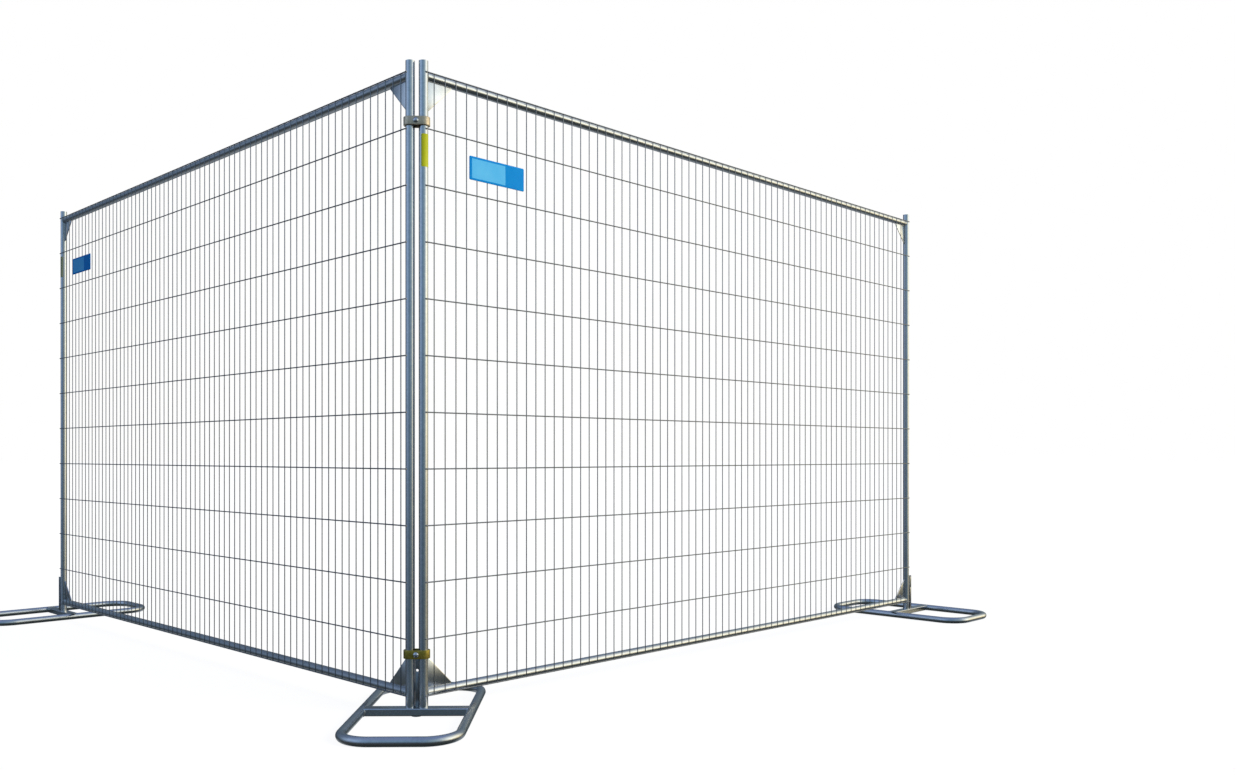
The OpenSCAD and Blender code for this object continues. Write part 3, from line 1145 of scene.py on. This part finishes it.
    def nut(self) -> None:
        """Models the hexagon nut with its chamfered corners and its bore."""
        base = self.out + self.washer_t
        top = base + self.nut_h
        rim = self.nut_af / math.sqrt(3)
        along_bolt = (-math.pi / 2, 0, 0)
        block = start(self.node("nut") + "_hexagon", "cylinder", vertices=6, radius=rim, depth=self.nut_h,
                      location=(0, base + self.nut_h / 2, 0), rotation=along_bolt)
        settle(block)
        flat = self.nut_af / 2 * 0.96
        profile = [(flat, base - 1), (flat + 0.2, base), (rim + 0.1, base + self.nut_chamfer),
                   (rim + 0.1, top - self.nut_chamfer), (flat + 0.2, top),
                   (flat, top + 1), (rim + 3, top + 1), (rim + 3, base - 1)]
        cut(block, self.turned("chamfer", profile, 48))
        drill = start("bore", "cylinder", vertices=40, radius=self.bolt_d / 2 + self.bore_play, depth=30,
                      location=(0, base, 0), rotation=along_bolt)
        cut(block, settle(drill))
        smooth(block, 30)
        deliver(self.put(block), f"{self.level.value}_nut", "bright_zinc", FASTENER,
                stands_for=self.node("nut"))

    def build(self) -> None:
        """Builds and dresses the coupler."""
        self.jaw(True)
        self.jaw(False)
        self.bolt()
        self.washer()
        self.nut()


@dataclass
class Studio:
    """Camera, floor and light. Compass stops are in degrees from the viewer's side."""

    focal_px: float = 1075.89
    frame_px: tuple[int, int] = (1235, 770)
    centre_px: tuple[float, float] = (617.5, 454.3)
    eye_mm: tuple[float, float, float] = (682.9, -4025.1, 973.3)
    turn: float = 0.0168
    sensor_mm: float = 36.0
    floor_m: float = 300.0
    floor_drop_m: float = 0.0005
    floor_glow: float = 0.94
    sky_stops: Stops = (
        (-180, "#58646F"), (-145, "#465260"), (-110, "#58687C"), (-76, "#98ADCA"), (-48, "#90AACA"),
        (-20, "#6883A0"), (2, "#6C869C"), (30, "#8AA0AC"), (60, "#A6B4BA"), (100, "#9AA4A4"),
        (180, "#58646F"))
    zenith: str = "#6E7FA2"
    zenith_stops: Stops = ((0.3, "#000000"), (0.6, "#787878"), (0.92, "#FFFFFF"))
    ground: str = "#282D2D"
    ground_stops: Stops = (
        (0.31, "#000000"), (0.4, "#747474"), (0.45, "#949494"), (0.507, "#C6C6C6"), (0.57, "#EAEAEA"),
        (0.61, "#FFFFFF"))
    glow_stops: Stops = ((48, "#000000"), (80, "#FFFFFF"), (108, "#FFF6DE"), (142, "#000000"))
    glow_height: Stops = (
        (0.36, "#000000"), (0.4, "#675B42"), (0.45, "#827861"), (0.5, "#FAE6BE"), (0.54, "#FFF5CA"),
        (0.59, "#FFF6E6"), (0.67, "#E4E0D6"), (0.95, "#000000"))
    rear_stops: Stops = (
        (-180, "#FFFFFF"), (-135, "#D0D0D0"), (-112, "#4C4C4C"), (112, "#4C4C4C"), (135, "#D0D0D0"),
        (180, "#FFFFFF"))
    rear_height: Stops = ((0.1, "#000000"), (0.2, "#868C92"), (0.335, "#868C92"), (0.39, "#000000"))
    sky_power: float = 1.5
    key_way: tuple[float, float, float] = (0.85, -0.4, 0.5)
    key_power: float = 2.6
    key_colour: str = "#FFF4E0"
    key_spread: float = 20.0

    def camera(self) -> None:
        """Makes the level camera that the photograph was taken with."""
        data = bpy.data.cameras.new("viewpoint")
        wide, high = self.frame_px
        data.sensor_fit = "HORIZONTAL"
        data.sensor_width = self.sensor_mm
        data.lens = self.focal_px * self.sensor_mm / wide
        data.shift_x = ((wide - 1) / 2 - self.centre_px[0]) / wide
        data.shift_y = (self.centre_px[1] - (high - 1) / 2) / wide
        data.clip_end = 500
        obj = bpy.data.objects.new("viewpoint", data)
        bpy.context.scene.collection.objects.link(obj)
        x, y, z = self.eye_mm
        obj.location = (x * MM, (y + LAYOUT.corner_y) * MM, z * MM)
        obj.rotation_euler = (math.pi / 2, 0, -self.turn)
        bpy.context.scene.camera = obj

    def floor(self) -> None:
        """Makes the plain pale floor. It shows to the eye and takes shadows, and throws no light back."""
        plane = start("floor", "plane", size=1)
        plane.scale = (self.floor_m, self.floor_m, 1)
        plane.location = (0, 0, -self.floor_drop_m)
        settle(plane)
        made, tree, shader = fresh_material("pale_floor")
        feed(tree, shader, {"Base Color": (0.1, 0.1, 0.1, 1), "Roughness": 1.0, "Specular IOR Level": 0.0,
                            "Emission Color": linear("#FFFFFF"), "Emission Strength": self.floor_glow})
        plane.data.materials.append(made)
        plane.visible_diffuse = False
        plane.visible_glossy = False
        plane.visible_shadow = False

    def sky(self) -> None:
        """Makes the soft surrounding light, and plain white to the eye.

        The sky changes with the compass. It turns to an even blue overhead and to dark ground below. A warm
        glow stands low on the right. Ground a few steps off is paler, most of all behind.
        """
        world = bpy.data.worlds.new("studio_light")
        bpy.context.scene.world = world
        world.use_nodes = True
        tree = world.node_tree
        tree.nodes.clear()
        way = node(tree, "ShaderNodeTexCoord").outputs["Generated"]
        parts = node(tree, "ShaderNodeSeparateXYZ", {"Vector": way}).outputs
        near = node(tree, "ShaderNodeMath", {0: parts["Y"], 1: -1.0}, operation="MULTIPLY")
        compass = node(tree, "ShaderNodeMath", {0: parts["X"], 1: near.outputs[0]}, operation="ARCTAN2")
        round_way = node(tree, "ShaderNodeMapRange", {"Value": compass.outputs[0], "From Min": -math.pi,
                                                      "From Max": math.pi}).outputs["Result"]
        level = node(tree, "ShaderNodeMapRange", {"Value": parts["Z"], "From Min": -1.0,
                                                  "From Max": 1.0}).outputs["Result"]

        def tone(along: Socket, stops: Iterable[tuple[float, str]]) -> Socket:
            """A colour ramp along a direction."""
            return ramp(node(tree, "ShaderNodeValToRGB", {"Fac": along}), stops).outputs["Color"]

        def round_tone(stops: Stops) -> Socket:
            """A colour ramp along the compass."""
            return tone(round_way, [(turn / 360 + 0.5, code) for turn, code in stops])

        def mixed(share: object, first: object, second: object, how: str = "MIX") -> Socket:
            """Two colours mixed."""
            return node(tree, "ShaderNodeMix", {0: share, 6: first, 7: second}, data_type="RGBA",
                        blend_type=how).outputs[2]

        up = tone(parts["Z"], self.zenith_stops)
        high = mixed(up, round_tone(self.sky_stops), linear(self.zenith))
        lit = mixed(tone(level, self.ground_stops), linear(self.ground), high)
        for stops, heights in ((self.glow_stops, self.glow_height), (self.rear_stops, self.rear_height)):
            patch = mixed(1.0, round_tone(stops), tone(level, heights), "MULTIPLY")
            lit = mixed(1.0, lit, patch, "ADD")
        around = node(tree, "ShaderNodeBackground", {"Color": lit, "Strength": self.sky_power})
        plain = node(tree, "ShaderNodeBackground", {"Color": linear("#FFFFFF"), "Strength": 1.0})
        eye = node(tree, "ShaderNodeLightPath").outputs["Is Camera Ray"]
        seen = node(tree, "ShaderNodeMixShader", {0: eye, 1: around.outputs[0], 2: plain.outputs[0]})
        node(tree, "ShaderNodeOutputWorld", {"Surface": seen.outputs[0]})

    def lamp(self) -> None:
        """Makes the soft key light from the right, for prints and films. Metal mirrors the sky instead."""
        data = bpy.data.lights.new("key_light", "SUN")
        data.energy = self.key_power
        data.color = linear(self.key_colour)[:3]
        data.angle = math.radians(self.key_spread)
        obj = bpy.data.objects.new("key_light", data)
        bpy.context.scene.collection.objects.link(obj)
        obj.rotation_euler = Vector(self.key_way).to_track_quat("Z", "Y").to_euler()
        obj.visible_glossy = False

    def build(self) -> None:
        """Builds the studio."""
        self.camera()
        self.floor()
        self.sky()
        self.lamp()
        bpy.context.scene.view_settings.view_transform = "Standard"


def main() -> None:
    """Builds the studio and every sub-assembly."""
    Studio().build()
    for side in Side:
        MeshPanel(side).build()
    for place in Place:
        Stand(place).build()
    for level in Level:
        Coupler(level).build()
    bpy.context.view_layer.update()


if __name__ == "__main__":
    main()
